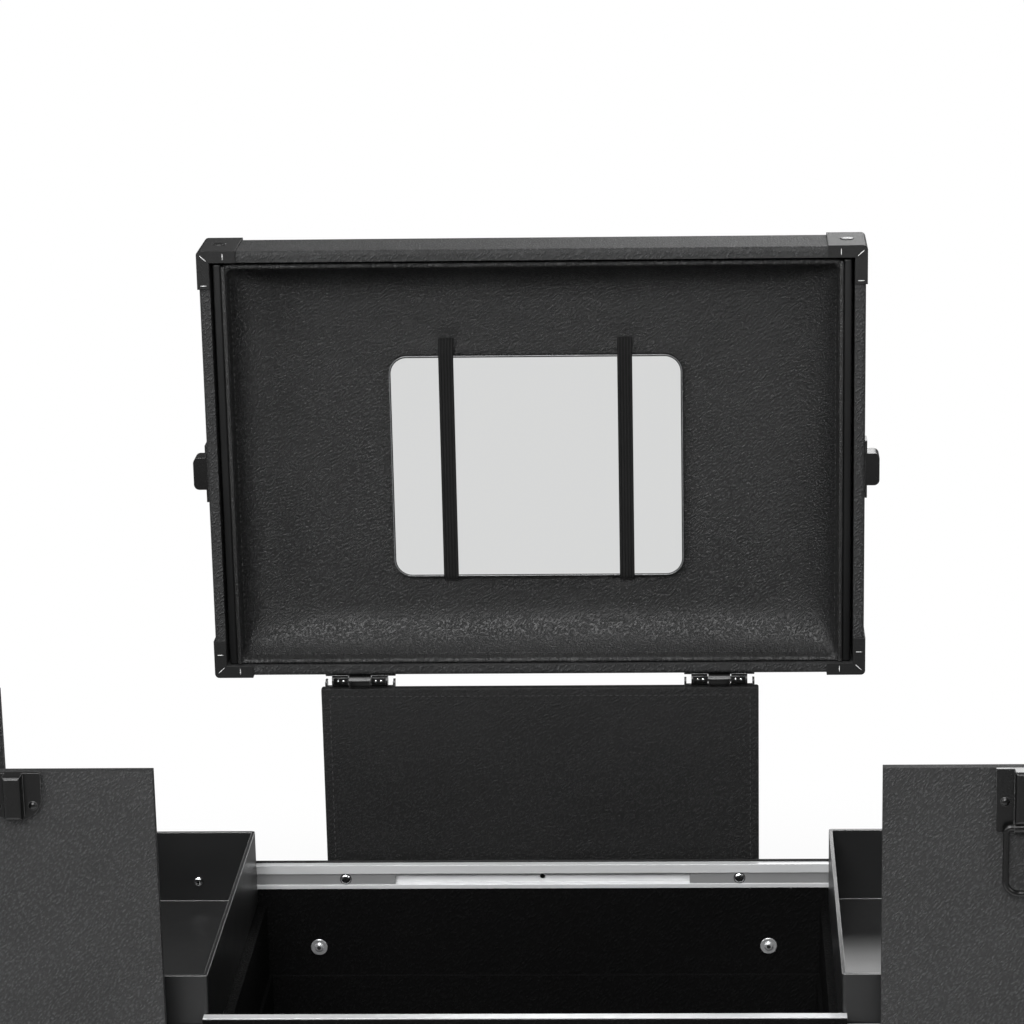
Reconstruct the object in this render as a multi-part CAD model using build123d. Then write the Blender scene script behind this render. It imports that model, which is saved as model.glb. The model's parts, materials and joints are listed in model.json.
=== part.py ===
from build123d import *
import os

# Rolling makeup case, standing open as it is shown: lid upright, both wings drawn out.
# Lengths are millimetres. +X is the right-hand side, +Y the back and +Z up.
# Places are worked out about the middle of the upper compartment, on the floor, and
# every piece is moved at the end so that the origin is the middle of the outline.

# Upper compartment
compartment_width = 312.0
compartment_depth = 212.0
compartment_wall = 7.0
compartment_rim = 590.0
compartment_drop = 130.0
compartment_floor = 5.0
lining_step_drop = 66.0
lining_step = 2.0
outer_skin = 1.5
skin_below_rim = 0.6

# Guide channels on the compartment's front and back rims, and the strips in them
channel_height = 14.0
channel_top_lip = 5.1
channel_low_lip = 2.4
channel_groove_depth = 4.0
channel_hole_radius = 1.6
strip_thickness = 2.5
strip_recess = 0.8
strip_start = 2.7
strip_length = 173.0
strip_play = 0.25
strip_screw_inset = 28.0
strip_screw_radius = 2.4
strip_screw_rise = 0.9

# Sliding trays
tray_start = 4.5
tray_meet_gap = 0.5
tray_wing_gap = 19.7
tray_rise = 21.0
tray_drop = 22.0
tray_wall = 2.0
tray_side_gap = 0.3
tray_under_gap = 2.5
tray_edge_radius = 0.8
tray_rib_start = 36.0
tray_rib_rise = 0.8
tray_rib_play = 0.1
tray_screw_inset = 33.0
tray_screw_radius = 2.6
tray_screw_rise = 1.2

# Wings: front panel, side panel and short back return in one shell
wing_panel = 5.0
wing_edge_inset = 1.0
wing_meet_gap = 0.3
wing_front_rise = 139.5
wing_side_rise = 102.5
wing_drop = 58.0
wing_return = 63.0
wing_lid_gap = 1.5
wing_front_gap = 2.0

# Flat bars that carry the wings, and the guides they run in
bar_thickness = 3.2
bar_height = 10.0
bar_play = 0.4
bar_inner_end = 140.0
bar_first_drop = 24.0
ledge_height = 4.0
guide_plate = 1.7

# Stitched panel behind the compartment
back_panel_width = 243.6
back_panel_thick = 5.0
back_panel_rise = 101.0
back_panel_gap = 4.0

# Lid
lid_over_width = 48.0
lid_over_depth = 28.0
lid_depth = 35.0
lid_wall = 6.0
lid_top_board = 4.0
lid_edge_radius = 2.5
lid_above_axis = 3.2
lid_rim_ahead = 0.5
lining_channel = 6.0
lining_setback = 2.0
lining_top_gap = 1.5
lining_border = 3.0
lining_corner = 6.0
lining_hollow = 25.0
lining_curve = 24.0
cap_leg = 20.5
cap_thick = 0.8
cap_rivet_inset = 10.0
cap_rivet_radius = 3.4
cap_rivet_rise = 0.6

# Catches on the lid's sides
catch_height = 18.0
catch_reach = 8.0
catch_depth = 12.0
catch_setback = 2.0
catch_plate_height = 32.0
catch_plate_thick = 1.2
catch_up_lid = 116.0
catch_corner = 3.0

# Mirror and its elastic straps
mirror_width = 161.5
mirror_height = 126.0
mirror_corner = 10.0
mirror_thick = 3.7
mirror_border = 2.2
mirror_glass = 1.5
mirror_glass_inset = 0.3
mirror_up_lid = 113.5
mirror_rear_gap = 0.3
strap_width = 8.8
strap_thick = 1.2
strap_gap = 0.4
strap_spread = 49.1
strap_overrun = 9.0

# Lid hinges
hinge_edge_inset = 21.8
hinge_axis_rise = 3.8
knuckle_radius = 3.0
hinge_pin_radius = 1.5
hinge_play = 0.05
side_knuckle = 9.0
middle_knuckle = 12.3
knuckle_gap = 0.4
leaf_thick = 1.5
leaf_width = 39.0
lid_leaf_depth = 26.0
panel_leaf_height = 30.0
ear_thick = 1.2

# Lower cabinet
cabinet_board = 7.0
cabinet_base = 76.0
deck_gap = 4.0
shelf_board = 3.0
trim_thick = 1.2
trim_leg = 12.0
corner_leg = 23.0
corner_thick = 1.8

# Drawers, from the top one down
drawer_shares = (1.0, 1.0, 1.35)
drawer_gap = 1.2
drawer_front = 7.0
drawer_wall = 4.0
drawer_depth = 205.0
drawer_rail = 7.0
runner_thick = 6.0
runner_height = 16.0
runner_play = 0.5
drawer_headroom = 8.0
pull_width = 96.0
pull_reach = 12.0
pull_wire_radius = 3.0
pull_foot_radius = 5.5
pull_foot_height = 3.0

# Fittings on the wings' front panels
plate_from_edge = 55.0
plate_width = 27.0
plate_thick = 2.0
keeper_height = 24.5
keeper_round = 12.0
ring_plate_height = 33.0
boss_width = 9.0
boss_reach = 7.0
plate_rivet_radius = 2.25
plate_rivet_rise = 1.2
plate_rivet_drop = 17.0
plate_rivet_inset = 4.6
ring_width = 20.0
ring_length = 36.0
ring_wire_radius = 1.6
ring_pivot_up = 3.6
ring_lug_radius = 2.6
wire_bend = 1.3
ring_stand_off = 3.0

# Side latches on the wings
latch_plate_width = 34.0
latch_plate_height = 34.0
latch_top_drop = 8.0
latch_pivot_drop = 5.0
latch_bail_width = 26.0
latch_bail_length = 36.0
latch_wire_radius = 1.4
latch_stand_off = 2.2
latch_rivet_spread = 6.0

# Trolley handle
tube_spread = 95.0
tube_behind_lid = 12.0
sleeve_radius = 9.0
sleeve_wall = 1.6
tube_play = 0.3
tube_wall = 1.5
sleeve_foot = 20.0
sleeve_top_drop = 78.0
tube_foot_gap = 6.0
grip_rise = 76.0
grip_height = 26.0
grip_depth = 20.0
grip_overhang = 13.0
grip_corner = 8.0
grip_end_round = 3.0
button_width = 26.0
button_depth = 11.0
button_rise = 2.2
button_travel = 2.0
button_play = 0.3
button_well = 6.0
bracket_height = 24.0
bracket_margin = 2.5

# Casters
caster_side_inset = 38.5
caster_end_inset = 50.35
caster_plate = 44.0
caster_plate_thick = 2.5
caster_race_radius = 14.0
caster_race_height = 5.5
king_pin_radius = 4.0
king_pin_head = 6.5
king_pin_head_height = 2.0
caster_play = 0.3
bearing_play = 0.05
fork_plate = 3.2
fork_arm = 2.5
fork_gap = 1.0
fork_setback = 2.0
caster_trail = 20.0
wheel_radius = 28.0
wheel_width = 22.0
tyre_depth = 5.0
axle_radius = 3.0
axle_head_radius = 4.6
axle_head = 1.6
fork_eye_radius = 7.5

# Rivets on the compartment's walls
wall_rivet_inset = 29.0
wall_rivet_drop = 49.0
wall_washer_radius = 5.0
wall_washer_thick = 1.0
wall_rivet_radius = 3.3
wall_rivet_rise = 1.6

# Worked-out places: compartment and guides
inner_x = compartment_width / 2
inner_y = compartment_depth / 2
outer_x = inner_x + compartment_wall
outer_y = inner_y + compartment_wall
rim = compartment_rim
groove_top = rim - channel_top_lip
groove_low = rim - channel_height + channel_low_lip
groove_mid = (groove_top + groove_low) / 2
strip_face = inner_y + strip_recess
tray_inner_face = inner_x + tray_start
tray_travel = tray_inner_face - tray_meet_gap
strip_travel = tray_travel / 2
strip_inner_end = strip_travel + strip_start
tray_half_depth = inner_y - tray_side_gap
tray_low = rim - tray_drop

# Worked-out places: back panel, lid hinge and lid
lid_width = compartment_width + lid_over_width
lid_height = compartment_depth + lid_over_depth
back_face = outer_y + back_panel_gap
rear_face = back_face + back_panel_thick
panel_top = rim + back_panel_rise
axis_y = back_face + back_panel_thick / 2
axis_z = panel_top + hinge_axis_rise
hinge_spread = back_panel_width / 2 - hinge_edge_inset
lid_rim_y = axis_y - lid_rim_ahead
lid_back_y = lid_rim_y + lid_depth
lid_low = axis_z + lid_above_axis
lid_high = lid_low + lid_height
lid_half = lid_width / 2
lid_closed_front = axis_y - lid_above_axis - lid_height
lining_back = lid_back_y - lid_top_board
lining_front = lid_rim_y + lining_setback
hollow_back = lining_front + lining_hollow

# Worked-out places: wings and cabinet
wing_front_in = lid_closed_front - wing_front_gap
wing_front_out = wing_front_in - wing_panel
wing_inner_edge = lid_half - wing_edge_inset
wing_travel = wing_inner_edge - wing_meet_gap
wing_side_in = lid_half + wing_lid_gap + wing_travel
tray_outer_face = wing_side_in - tray_wing_gap
wing_side_out = wing_side_in + wing_panel
cabinet_half = wing_side_out - wing_travel
wing_low = rim - wing_drop
deck_top = wing_low - deck_gap
deck_low = deck_top - cabinet_board
base_top = cabinet_base + cabinet_board
inside_half = cabinet_half - cabinet_board
rear_in = rear_face - cabinet_board
tub_low = rim - compartment_drop - compartment_floor
front_in = wing_front_out + drawer_front

nodes = {}


def keep(name, *pieces):
    """Store a sub-part's separate solids under its node name."""
    nodes[name] = [solid for piece in pieces for solid in piece.solids()]


def block(x_span, y_span, z_span):
    """A box between two limits along each axis, given in either order."""
    spans = [sorted(span) for span in (x_span, y_span, z_span)]
    middle = [(low + high) / 2 for low, high in spans]
    return Pos(*middle) * Box(*[high - low for low, high in spans])


def rod(x, y, z, radius, length, along="Z"):
    """A round bar about its middle point, along X, Y or Z."""
    turn = {"X": Rot(0, 90, 0), "Y": Rot(90, 0, 0), "Z": Rot(0, 0, 0)}[along]
    return Pos(x, y, z) * turn * Cylinder(radius, length)


def dome(x, y, z, radius, rise, facing):
    """A low rivet or screw head that stands on a face, facing an axis direction."""
    cap_radius = (radius ** 2 + rise ** 2) / (2 * rise)
    profile = Pos(0, 0, rise - cap_radius) * Sphere(cap_radius)
    head = profile & Pos(0, 0, rise / 2) * Box(2 * radius, 2 * radius, rise)
    turns = {
        "+X": Rot(0, 90, 0),
        "-X": Rot(0, -90, 0),
        "+Y": Rot(-90, 0, 0),
        "-Y": Rot(90, 0, 0),
        "+Z": Rot(0, 0, 0),
    }
    return Pos(x, y, z) * turns[facing] * head


def other_side(piece):
    """The same piece on the other side of the case."""
    return mirror(piece, about=Plane.YZ)


def front_of(piece):
    """The same piece at the front of the compartment."""
    return mirror(piece, about=Plane.XZ)


def wire_loop(width, length, radius, lug_half):
    """A wire bail in the XZ plane that hangs from a pivot bar along X through the origin."""
    half = width / 2 - radius
    drop = length - radius
    bend = half - radius
    eye = radius * wire_bend
    path = FilletPolyline(
        (-lug_half, 0),
        (-half, 0),
        (-half, -drop),
        (half, -drop),
        (half, 0),
        (lug_half, 0),
        radius=[eye, bend, bend, eye],
    )
    path = Plane.XZ * path
    ring = Plane(origin=(-lug_half, 0, 0), z_dir=(-1, 0, 0)) * Circle(radius)
    return sweep(ring, path=path)


# Compartment: a lined box whose side walls stop under the sliding trays
tub = block((-outer_x, outer_x), (-outer_y, outer_y), (tub_low, rim - skin_below_rim))
step_z = rim - lining_step_drop
floor_z = tub_low + compartment_floor
low_x = inner_x - lining_step
low_y = inner_y - lining_step
tub -= block((-inner_x, inner_x), (-inner_y, inner_y), (step_z, rim))
tub -= block((-low_x, low_x), (-low_y, low_y), (floor_z, rim))
tub -= block((-outer_x, outer_x), (-inner_y, inner_y), (tray_low - tray_under_gap, rim))
channel_out = outer_y - outer_skin
tub -= block((-outer_x, outer_x), (-channel_out, channel_out), (rim - channel_height, rim))
keep("compartment_box", tub)

# Guide channels, with a groove that faces the compartment and a hole at the middle
channel = block((-outer_x, outer_x), (inner_y, channel_out), (rim - channel_height, rim))
groove_back = inner_y + channel_groove_depth
channel -= block((-outer_x, outer_x), (inner_y, groove_back), (groove_low, groove_top))
channel -= rod(0, groove_back, groove_mid, channel_hole_radius, compartment_wall, "Y")
keep("guide_channels", channel, front_of(channel))

# Strips that slide in the channels, halfway between the compartment and the tray
strip_end = strip_inner_end + strip_length
strip = block(
    (strip_inner_end, strip_end),
    (strip_face, strip_face + strip_thickness),
    (groove_low + strip_play, groove_top - strip_play),
)
screw_x = strip_inner_end + strip_screw_inset
strip_screw = dome(screw_x, strip_face, groove_mid, strip_screw_radius, strip_screw_rise, "-Y")
strips = [strip, strip_screw, front_of(strip), front_of(strip_screw)]
keep("right_slide_strips", *strips)
keep("left_slide_strips", *[other_side(piece) for piece in strips])

# Trays, open at the top, with a rib that runs in the groove beside the strip
tray = block(
    (tray_inner_face, tray_outer_face),
    (-tray_half_depth, tray_half_depth),
    (tray_low, rim + tray_rise),
)
tray = fillet(tray.edges().filter_by(Axis.Z), tray_wall)
tray -= block(
    (tray_inner_face + tray_wall, tray_outer_face - tray_wall),
    (-tray_half_depth + tray_wall, tray_half_depth - tray_wall),
    (tray_low + tray_wall, rim + tray_rise),
)
tray = chamfer(tray.edges().filter_by_position(Axis.Z, tray_low, tray_low), tray_edge_radius)
rib = block(
    (tray_inner_face + tray_rib_start, tray_outer_face - tray_wall),
    (tray_half_depth, tray_half_depth + tray_rib_rise),
    (groove_low + tray_rib_play, groove_top - tray_rib_play),
)
tray = tray + rib + front_of(rib)
tray_screw = dome(
    tray_inner_face + tray_screw_inset,
    tray_half_depth - tray_wall,
    groove_mid,
    tray_screw_radius,
    tray_screw_rise,
    "-Y",
)
tray_pieces = [tray, tray_screw, front_of(tray_screw)]
keep("right_tray", *tray_pieces)
keep("left_tray", *[other_side(piece) for piece in tray_pieces])

# Wing shells
wing = block(
    (wing_inner_edge, wing_side_out), (wing_front_out, wing_front_in), (wing_low, rim + wing_front_rise)
)
wing += block(
    (wing_side_in, wing_side_out), (wing_front_in, rear_face), (wing_low, rim + wing_side_rise)
)
wing += block(
    (wing_side_out - wing_return, wing_side_out), (back_face, rear_face), (wing_low, panel_top)
)
keep("right_wing_shell", wing)
keep("left_wing_shell", other_side(wing))

# Bars that carry the wings: the left pair runs above the right pair, so that they pass
bar_step = bar_height + 2 * bar_play + ledge_height
bar_tops = {"left": rim - bar_first_drop, "right": rim - bar_first_drop - bar_step}


def wing_bars(top):
    """The rear and front bars of a right-hand wing, at the given height."""
    bar = block(
        (bar_inner_end, wing_side_in),
        (outer_y + bar_play, outer_y + bar_play + bar_thickness),
        (top - bar_height, top),
    )
    return [bar, front_of(bar)]


keep("right_wing_bars", *wing_bars(bar_tops["right"]))
keep("left_wing_bars", *[other_side(bar) for bar in wing_bars(bar_tops["left"])])

# Guides for the bars: ledges outside the compartment's walls, with a cover at the front
guide_out = outer_y + bar_thickness + 2 * bar_play
rear_out = back_face - bar_play
ledge_tops = [rim - bar_first_drop + bar_play + ledge_height - bar_step * row for row in range(3)]
rear_ledges = [
    block((-outer_x, outer_x), (outer_y, rear_out), (top - ledge_height, top)) for top in ledge_tops
]
front_guide = block(
    (-outer_x, outer_x),
    (-guide_out - guide_plate, -guide_out),
    (ledge_tops[-1] - ledge_height, ledge_tops[0]),
)
for top in ledge_tops:
    front_guide += block((-outer_x, outer_x), (-guide_out, -outer_y), (top - ledge_height, top))
keep("bar_guides", front_guide, *rear_ledges)

# Stitched back panel, standing on the deck
half_panel = back_panel_width / 2
keep("stitched_back_panel", block((-half_panel, half_panel), (back_face, rear_face), (deck_top, panel_top)))

# Lid shell: five boards with softened outer edges
lid_outer = block((-lid_half, lid_half), (lid_rim_y, lid_back_y), (lid_low, lid_high))
lid_round = fillet(lid_outer.edges(), lid_edge_radius)
lid_inner_half = lid_half - lid_wall
lid_hollow = block(
    (-lid_inner_half, lid_inner_half),
    (lid_rim_y - lid_wall, lining_back),
    (lid_low + lid_wall, lid_high - lid_wall),
)
keep("lid_shell", lid_round - lid_hollow)

# Padded lining, with a hollow that curves from its border into its back
lining_half = lid_inner_half - lining_channel
lining_low = lid_low + lid_wall
lining_high = lid_high - lid_wall - lining_top_gap
lining = block((-lining_half, lining_half), (lining_front, lining_back), (lining_low, lining_high))
hollow = block(
    (-lining_half + lining_border, lining_half - lining_border),
    (lining_front - lining_hollow, hollow_back),
    (lining_low + lining_border, lining_high - lining_border),
)
hollow = fillet(hollow.edges().filter_by(Axis.Y), lining_corner)
hollow = fillet(hollow.faces().sort_by(Axis.Y)[-1].edges(), min(lining_curve, lining_hollow - 1))
keep("lid_lining", lining - hollow)


def corner_cap(side, top):
    """A leather cap round one corner of the lid, left open over the lid's inside."""
    across = [side * (lid_half - cap_leg), side * (lid_half + cap_thick)]
    corner = lid_high if top else lid_low
    away = 1 if top else -1
    upright = [corner - away * cap_leg, corner + away * cap_thick]
    cap = block(across, (lid_rim_y - cap_thick, lid_back_y + cap_thick), upright)
    tip = (across[1], 0, upright[1])
    cap = fillet(cap.edges().filter_by(Axis.Y).sort_by_distance(tip)[0], lid_edge_radius)
    return cap - lid_outer - lid_hollow


caps = [corner_cap(side, top) for side in (-1, 1) for top in (False, True)]
cap_rivets = [
    dome(
        side * (lid_half - cap_rivet_inset),
        (lid_rim_y + lid_back_y) / 2,
        lid_high + cap_thick,
        cap_rivet_radius,
        cap_rivet_rise,
        "+Z",
    )
    for side in (-1, 1)
]
keep("lid_corner_caps", *caps, *cap_rivets)

# Catches: a thin plate on each side wall with a rounded hook that stands out of it
catch_z = lid_low + catch_up_lid
catch_y = lid_rim_y + catch_setback
catch_plate = block(
    (lid_half, lid_half + catch_plate_thick),
    (catch_y, catch_y + catch_depth),
    (catch_z - catch_plate_height / 2, catch_z + catch_plate_height / 2),
)
hook = block(
    (lid_half, lid_half + catch_reach),
    (catch_y, catch_y + catch_depth),
    (catch_z - catch_height / 2, catch_z + catch_height / 2),
)
hook_outer = hook.edges().filter_by(Axis.Y).sort_by(Axis.X)[-2:]
catch = catch_plate + fillet(hook_outer, catch_corner)
keep("lid_catches", catch, other_side(catch))

# Mirror: a framed plate with its glass let in, under two elastic straps
mirror_z = lid_low + mirror_up_lid
mirror_back = hollow_back - mirror_rear_gap
mirror_front = mirror_back - mirror_thick


def rounded_plate(width, height, corner, y_span, z_mid):
    """An upright plate with rounded corners, centred on X."""
    plate = block((-width / 2, width / 2), y_span, (z_mid - height / 2, z_mid + height / 2))
    return fillet(plate.edges().filter_by(Axis.Y), corner)


glass_y = mirror_front + mirror_glass_inset
glass_back = glass_y + mirror_glass
glass_width = mirror_width - 2 * mirror_border
glass_height = mirror_height - 2 * mirror_border
glass_corner = mirror_corner - mirror_border
plate_span = (mirror_front, mirror_back)
mirror_plate = rounded_plate(mirror_width, mirror_height, mirror_corner, plate_span, mirror_z)
pocket = rounded_plate(glass_width, glass_height, glass_corner, (mirror_front, glass_back), mirror_z)
glass = rounded_plate(glass_width, glass_height, glass_corner, (glass_y, glass_back), mirror_z)
keep("mirror_frame", mirror_plate - pocket)
keep("mirror_glass", glass)

strap_back = mirror_front - strap_gap
strap_front = strap_back - strap_thick
strap_high = mirror_z + mirror_height / 2 + strap_overrun
strap_low = mirror_z - mirror_height / 2 - strap_gap - strap_thick
straps = []
for side in (-1, 1):
    strap_x = (side * strap_spread - strap_width / 2, side * strap_spread + strap_width / 2)
    strap = block(strap_x, (strap_front, strap_back), (strap_low, strap_high))
    strap += block(strap_x, (strap_back, hollow_back), (strap_low, strap_low + strap_thick))
    strap += block(strap_x, (strap_back, hollow_back), (strap_high - strap_thick, strap_high))
    straps.append(strap)
keep("mirror_straps", *straps)

# Hinges: the lid leaf holds the side knuckles and the panel leaf the middle one
knuckle_offset = middle_knuckle / 2 + knuckle_gap + side_knuckle / 2
knuckle_reach = middle_knuckle + 2 * (knuckle_gap + side_knuckle)
lid_leaves = []
panel_leaves = []
pins = []
for side in (-1, 1):
    middle = side * hinge_spread
    leaf_x = (middle - leaf_width / 2, middle + leaf_width / 2)
    leaf_start = axis_y + knuckle_radius + knuckle_gap
    lid_leaf = block(leaf_x, (leaf_start, axis_y + lid_leaf_depth), (lid_low - leaf_thick, lid_low))
    for end in (-1, 1):
        knuckle_x = middle + end * knuckle_offset
        span = (knuckle_x - side_knuckle / 2, knuckle_x + side_knuckle / 2)
        lid_leaf += rod(knuckle_x, axis_y, axis_z, knuckle_radius, side_knuckle, "X")
        lid_leaf += block(span, (axis_y, leaf_start + leaf_thick), (lid_low - leaf_thick, lid_low))
    lid_leaf -= rod(middle, axis_y, axis_z, hinge_pin_radius + hinge_play, leaf_width, "X")
    lid_leaves.append(lid_leaf)

    leaf_back = rear_face + leaf_thick
    arm_low = panel_top + hinge_play
    arm_x = (middle - middle_knuckle / 2, middle + middle_knuckle / 2)
    panel_leaf = block(leaf_x, (rear_face, leaf_back), (panel_top - panel_leaf_height, panel_top))
    panel_leaf += block(arm_x, (rear_face, leaf_back), (panel_top, axis_z))
    panel_leaf += block(arm_x, (axis_y, leaf_back), (arm_low, axis_z))
    panel_leaf += rod(middle, axis_y, axis_z, knuckle_radius, middle_knuckle, "X")
    for end in (-1, 1):
        ear_out = middle + end * leaf_width / 2
        ear_x = (ear_out, ear_out - end * ear_thick)
        panel_leaf += block(ear_x, (rear_face, leaf_back), (panel_top, axis_z))
        panel_leaf += block(ear_x, (axis_y - leaf_thick, leaf_back), (arm_low, axis_z))
    panel_leaf -= rod(middle, axis_y, axis_z, hinge_pin_radius, leaf_width, "X")
    panel_leaves.append(panel_leaf)
    pins.append(rod(middle, axis_y, axis_z, hinge_pin_radius, knuckle_reach, "X"))
keep("lid_hinge_leaves", *lid_leaves)
keep("panel_hinge_leaves", *panel_leaves, *pins)

# Cabinet boards
case_y = (wing_front_out, rear_face)
case_x = (-cabinet_half, cabinet_half)
deck = block(case_x, case_y, (deck_low, deck_top))
deck -= block((-outer_x, outer_x), (-outer_y, outer_y), (deck_low, deck_top))
side_board = block((inside_half, cabinet_half), case_y, (base_top, deck_low))
keep("deck_board", deck)
keep("cabinet_sides", side_board, other_side(side_board))
keep("cabinet_back", block((-inside_half, inside_half), (rear_in, rear_face), (base_top, deck_low)))
keep("cabinet_base", block(case_x, case_y, (cabinet_base, base_top)))
apron_low = tub_low - shelf_board
keep("front_apron", block((-inside_half, inside_half), (wing_front_out, front_in), (apron_low, deck_low)))

# Drawer bays, stacked between the base and the compartment
bays_high = tub_low - shelf_board
share_height = (bays_high - base_top - 2 * shelf_board) / sum(drawer_shares)
bays = []
bay_top = bays_high
for share in drawer_shares:
    bays.append((bay_top - share * share_height, bay_top))
    bay_top -= share * share_height + shelf_board
shelf_lows = [bays_high, bays[0][0] - shelf_board, bays[1][0] - shelf_board]
shelves = [
    block((-inside_half, inside_half), (front_in, rear_in), (low, low + shelf_board)) for low in shelf_lows
]
keep("drawer_shelves", *shelves)

# Runners on the cabinet's sides, each with a ledge under the drawer's rail
runner_in = inside_half - runner_thick
rail_out = runner_in - runner_play
rail_in = rail_out - drawer_rail
drawer_back = front_in + drawer_depth
runners = []
for bay_low, bay_high in bays:
    runner_mid = (bay_low + bay_high) / 2
    runner = block(
        (runner_in, inside_half),
        (front_in, drawer_back),
        (runner_mid - runner_height, runner_mid + runner_height / 2),
    )
    runner += block(
        (rail_in + runner_play, inside_half),
        (front_in, drawer_back),
        (runner_mid - runner_height, runner_mid - runner_height / 2 - runner_play),
    )
    runners += [runner, other_side(runner)]
keep("drawer_runners", *runners)


def drawer(number, bay_low, bay_high):
    """A drawer box with side rails, its front board and its pull."""
    runner_mid = (bay_low + bay_high) / 2
    box_low = bay_low + drawer_gap
    box_high = bay_high - drawer_headroom
    box = block((-rail_in, rail_in), (front_in, drawer_back), (box_low, box_high))
    box -= block(
        (-rail_in + drawer_wall, rail_in - drawer_wall),
        (front_in + drawer_wall, drawer_back - drawer_wall),
        (box_low + drawer_wall, box_high),
    )
    rail = block(
        (rail_in, rail_out),
        (front_in, drawer_back),
        (runner_mid - runner_height / 2, runner_mid + runner_height / 2),
    )
    keep(f"drawer_{number}_box", box + rail + other_side(rail))
    front_half = inside_half - drawer_gap
    front = block(
        (-front_half, front_half), (wing_front_out, front_in), (bay_low + drawer_gap, bay_high - drawer_gap)
    )
    keep(f"drawer_{number}_front", front)

    pull_z = runner_mid
    half = pull_width / 2
    reach = wing_front_out - pull_reach + pull_wire_radius
    path = FilletPolyline(
        (-half, wing_front_out - pull_foot_height),
        (-half, reach),
        (half, reach),
        (half, wing_front_out - pull_foot_height),
        radius=pull_reach - pull_foot_height - pull_wire_radius - 1.0,
    )
    path = Pos(0, 0, pull_z) * path
    start = Plane(origin=(-half, wing_front_out - pull_foot_height, pull_z), z_dir=(0, -1, 0))
    pull = sweep(start * Circle(pull_wire_radius), path=path)
    for side in (-1, 1):
        foot_y = wing_front_out - pull_foot_height / 2
        pull += rod(side * half, foot_y, pull_z, pull_foot_radius, pull_foot_height, "Y")
    keep(f"drawer_{number}_pull", pull)


for index, (bay_low, bay_high) in enumerate(bays):
    drawer(index + 1, bay_low, bay_high)

# Aluminium edging round the cabinet, and a metal cap on each of its corners
case_z = (cabinet_base, deck_top)
full_case = block(case_x, case_y, case_z)
trims = []
for side in (-1, 1):
    side_x = side * cabinet_half
    for y_edge, inward in ((case_y[0], 1), (case_y[1], -1)):
        upright = block(
            (side_x + side * trim_thick, side * inside_half),
            (y_edge - inward * trim_thick, y_edge + inward * trim_leg),
            (case_z[0] + corner_leg, case_z[1] - corner_leg),
        )
        trims.append(upright - full_case)
    for z_edge, inward in ((case_z[0], 1), (case_z[1], -1)):
        along_side = block(
            (side_x + side * trim_thick, side_x - side * trim_leg),
            (case_y[0] + corner_leg, case_y[1] - corner_leg),
            (z_edge - inward * trim_thick, z_edge + inward * trim_leg),
        )
        trims.append(along_side - full_case)
for y_edge, inward in ((case_y[0], 1), (case_y[1], -1)):
    for z_edge, upward in ((case_z[0], 1), (case_z[1], -1)):
        under_panel = y_edge == case_y[1] and z_edge == case_z[1]
        across = block(
            (-cabinet_half + corner_leg, cabinet_half - corner_leg),
            (y_edge - inward * trim_thick, y_edge if under_panel else y_edge + inward * trim_leg),
            (z_edge - upward * trim_thick, z_edge + upward * cabinet_board),
        )
        trims.append(across - full_case)

drawer_zone = block(
    (-inside_half, inside_half), (case_y[0] - corner_leg, case_y[0] + corner_leg), (base_top, deck_low)
)
corners = []
for side in (-1, 1):
    for y_edge, inward in ((case_y[0], 1), (case_y[1], -1)):
        for z_edge, upward in ((case_z[0], 1), (case_z[1], -1)):
            corner = block(
                (side * (cabinet_half + corner_thick), side * (cabinet_half - corner_leg)),
                (y_edge - inward * corner_thick, y_edge + inward * corner_leg),
                (z_edge - upward * corner_thick, z_edge + upward * corner_leg),
            )
            tip = (
                side * (cabinet_half + corner_thick),
                y_edge - inward * corner_thick,
                z_edge - upward * corner_thick,
            )
            corner = fillet(corner.edges().sort_by_distance(tip)[:3], corner_thick)
            corners.append(corner - full_case - drawer_zone)
keep("cabinet_edging", *trims, *corners)

# Rivets with washers on the compartment's inner walls
rivets = []
for side in (-1, 1):
    washer_y = inner_y - wall_washer_thick
    place = (side * (inner_x - wall_rivet_inset), washer_y, rim - wall_rivet_drop)
    washer_mid = inner_y - wall_washer_thick / 2
    washer = rod(place[0], washer_mid, place[2], wall_washer_radius, wall_washer_thick, "Y")
    rivet = washer + dome(*place, wall_rivet_radius, wall_rivet_rise, "-Y")
    rivets += [rivet, front_of(rivet)]
keep("compartment_rivets", *rivets)

# Fittings on the wings' front panels: a keeper on the left, a ring pull on the right
plate_x = wing_inner_edge + plate_from_edge
plate_mid = plate_x + plate_width / 2
plate_top = rim + wing_front_rise
plate_face = wing_front_out - plate_thick


def front_plate(height, rounded, boss_up):
    """A black plate with a raised boss down its middle and a rivet on each side."""
    low = plate_top - height
    plate = block((plate_x, plate_x + plate_width), (plate_face, wing_front_out), (low, plate_top))
    low_edges = plate.edges().filter_by(Axis.Y).sort_by(Axis.Z)[:2]
    plate = fillet(low_edges, rounded)
    boss = block(
        (plate_mid - boss_width / 2, plate_mid + boss_width / 2),
        (plate_face - boss_reach, plate_face),
        (low + boss_up, plate_top),
    )
    boss = fillet(boss.faces().sort_by(Axis.Y)[0].edges(), plate_thick)
    plate += boss
    for side in (-1, 1):
        rivet_x = plate_mid + side * (plate_width / 2 - plate_rivet_inset)
        plate += dome(
            rivet_x, plate_face, plate_top - plate_rivet_drop, plate_rivet_radius, plate_rivet_rise, "-Y"
        )
    return plate


keep("left_front_keeper", other_side(front_plate(keeper_height, keeper_round, plate_thick)))

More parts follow.
